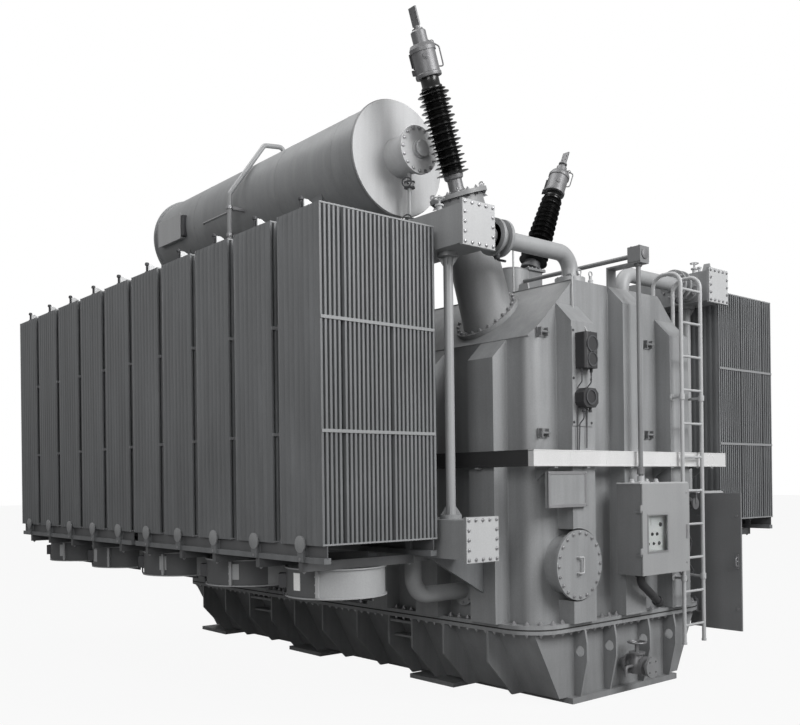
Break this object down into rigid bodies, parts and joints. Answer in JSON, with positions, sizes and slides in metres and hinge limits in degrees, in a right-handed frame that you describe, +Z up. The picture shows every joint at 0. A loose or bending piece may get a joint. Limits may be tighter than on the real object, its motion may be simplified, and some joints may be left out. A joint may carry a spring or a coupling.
{
  "type": "power transformer",
  "caption": "Oil-filled power transformer with a ribbed tank, radiator banks with fans, an oil conservator, leaning bushings, a ladder and control cabinets.",
  "frame": {"origin": "middle of the underside of the base plate", "axes": "+Z up; +X along the tank towards the end with the ladder and drive cabinet; -Y towards the conservator side"},
  "size_m": [6.814, 6.17, 5.7677],
  "materials": {
    "tank_paint": "semi-gloss",
    "radiator_paint": "satin",
    "fan_paint": "satin",
    "tray_metal": "satin",
    "cast_head": "cast",
    "insulator_glaze": "glossy",
    "gasket_rubber": "matte",
    "instrument_black": "satin"
  },
  "bodies": {
    "root": {"breather_pipe": "tank_paint", "cable_tray": "tray_metal", "conservator_far_end": "tank_paint", "conservator_near_end": "tank_paint", "conservator_saddles": "tank_paint", "conservator_shell": "tank_paint", "control_cabinet": "tank_paint", "drain_valve": "tank_paint", "drive_cabinet": "tank_paint", "drive_shaft": "tank_paint", "duct_brackets": "tank_paint", "end_gussets": "tank_paint", "end_stiffeners": "tank_paint", "fan_beams": "tank_paint", "fan_drums": "fan_paint", "fan_motors": "tank_paint", "fan_rails": "tank_paint", "foot_plates": "tank_paint", "gauge_plate": "tank_paint", "gauges": "instrument_black", "hv_cap": "cast_head", "hv_insulator": "insulator_glaze", "hv_turret": "tank_paint", "joint_gasket": "gasket_rubber", "ladder_rails": "tank_paint", "ladder_rungs": "tank_paint", "lower_duct_left": "tank_paint", "lower_duct_right": "tank_paint", "lower_pan": "tank_paint", "lower_pipes": "tank_paint", "manhole": "tank_paint", "neck_drain": "tank_paint", "plate_holder": "tank_paint", "radiators_left_far": "radiator_paint", "radiators_left_near": "radiator_paint", "radiators_right_far": "radiator_paint", "radiators_right_near": "radiator_paint", "rear_cap": "cast_head", "rear_insulator": "insulator_glaze", "rear_turret": "tank_paint", "side_gussets": "tank_paint", "side_stiffeners": "tank_paint", "standpipes": "tank_paint", "tank_bell": "tank_paint", "tap_changer_head": "tank_paint", "upper_duct_left": "tank_paint", "upper_duct_right": "tank_paint", "upper_pipes": "tank_paint"},
    "drive_door": {"drive_cabinet_door": "tank_paint"},
    "control_door": {"control_cabinet_door": "tank_paint"}
  },
  "joints": [
    {"name": "drive_door_hinge", "type": "hinge", "parent": "root", "child": "drive_door", "pos_m": [3.276, -0.28, 1.435], "axis": [0, 0, -1], "range_deg": [0, 110]},
    {"name": "control_door_hinge", "type": "hinge", "parent": "root", "child": "control_door", "pos_m": [2.841, 1.33, 1.06], "axis": [0, 0, 1], "range_deg": [-20, 90]}
  ]
}
